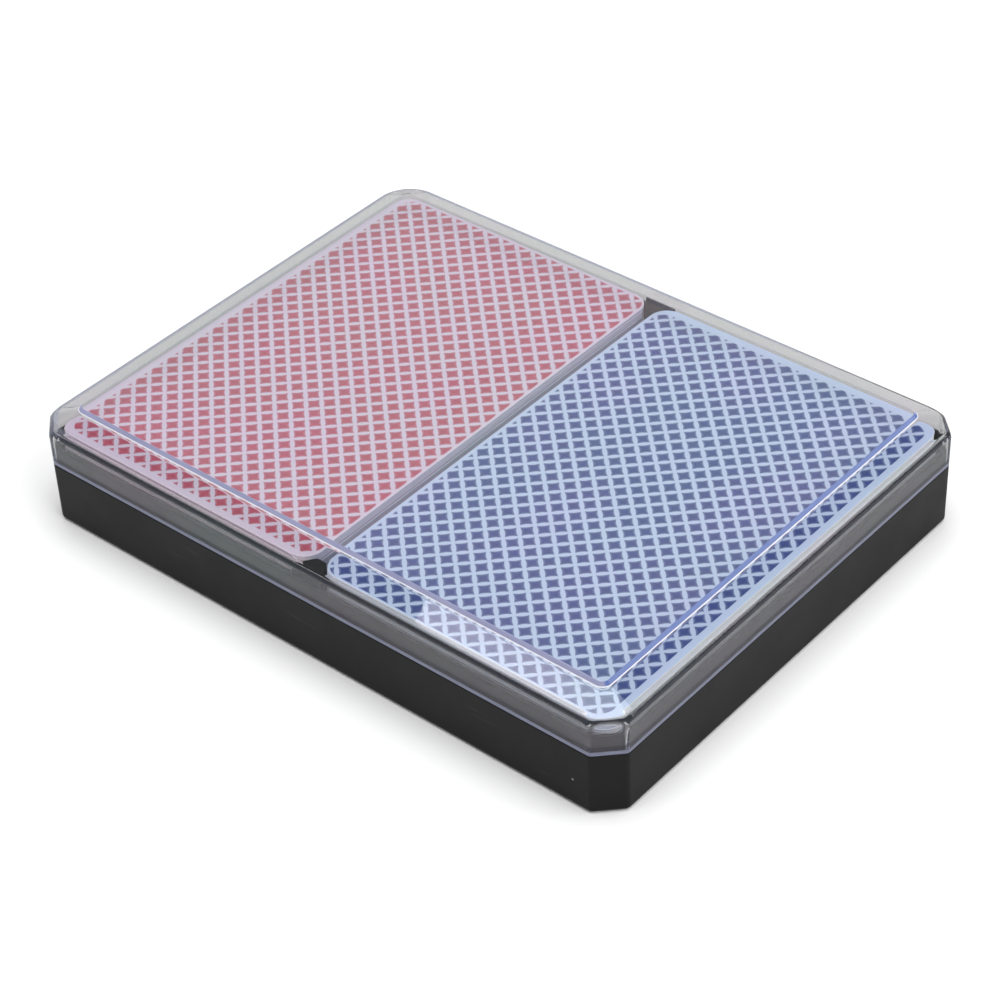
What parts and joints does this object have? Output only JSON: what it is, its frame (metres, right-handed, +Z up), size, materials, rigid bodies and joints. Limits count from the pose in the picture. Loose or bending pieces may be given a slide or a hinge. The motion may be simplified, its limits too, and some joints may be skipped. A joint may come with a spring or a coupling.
{
  "type": "twin-deck playing card case",
  "caption": "Shallow black tray with a clear lift-off lid, holding a red-backed and a blue-backed deck of playing cards side by side.",
  "frame": {"origin": "middle of the tray's underside, on the table", "axes": "+Z up, the way the lid lifts; +X across the two decks, from the red one to the blue one; +Y along the cards"},
  "size_m": [0.122, 0.0936, 0.021],
  "materials": {
    "tray_black": "satin",
    "lid_clear": "polished",
    "red_cards": "satin",
    "blue_cards": "satin"
  },
  "bodies": {
    "tray": {"tray": "tray_black"},
    "red_deck": {"red_ace_of_clubs": "red_cards", "red_two_to_ten_of_clubs": "red_cards", "red_jack_of_clubs": "red_cards", "red_queen_of_clubs": "red_cards", "red_king_of_clubs": "red_cards", "red_ace_of_diamonds": "red_cards", "red_two_to_ten_of_diamonds": "red_cards", "red_jack_of_diamonds": "red_cards", "red_queen_of_diamonds": "red_cards", "red_king_of_diamonds": "red_cards", "red_ace_of_hearts": "red_cards", "red_two_to_ten_of_hearts": "red_cards", "red_jack_of_hearts": "red_cards", "red_queen_of_hearts": "red_cards", "red_king_of_hearts": "red_cards", "red_ace_of_spades": "red_cards", "red_two_to_ten_of_spades": "red_cards", "red_jack_of_spades": "red_cards", "red_queen_of_spades": "red_cards", "red_king_of_spades": "red_cards", "red_first_joker": "red_cards", "red_second_joker": "red_cards"},
    "blue_deck": {"blue_ace_of_clubs": "blue_cards", "blue_two_to_ten_of_clubs": "blue_cards", "blue_jack_of_clubs": "blue_cards", "blue_queen_of_clubs": "blue_cards", "blue_king_of_clubs": "blue_cards", "blue_ace_of_diamonds": "blue_cards", "blue_two_to_ten_of_diamonds": "blue_cards", "blue_jack_of_diamonds": "blue_cards", "blue_queen_of_diamonds": "blue_cards", "blue_king_of_diamonds": "blue_cards", "blue_ace_of_hearts": "blue_cards", "blue_two_to_ten_of_hearts": "blue_cards", "blue_jack_of_hearts": "blue_cards", "blue_queen_of_hearts": "blue_cards", "blue_king_of_hearts": "blue_cards", "blue_ace_of_spades": "blue_cards", "blue_two_to_ten_of_spades": "blue_cards", "blue_jack_of_spades": "blue_cards", "blue_queen_of_spades": "blue_cards", "blue_king_of_spades": "blue_cards", "blue_first_joker": "blue_cards", "blue_second_joker": "blue_cards"},
    "lid": {"lid": "lid_clear"}
  },
  "joints": [
    {"name": "red_deck_lift", "type": "slide", "parent": "tray", "child": "red_deck", "axis": [0, 0, 1], "range_m": [0, 0.025]},
    {"name": "blue_deck_lift", "type": "slide", "parent": "red_deck", "child": "blue_deck", "axis": [0, 0, 1], "range_m": [0, 0.025]},
    {"name": "lid_lift", "type": "slide", "parent": "blue_deck", "child": "lid", "axis": [0, 0, 1], "range_m": [0, 0.03]}
  ]
}
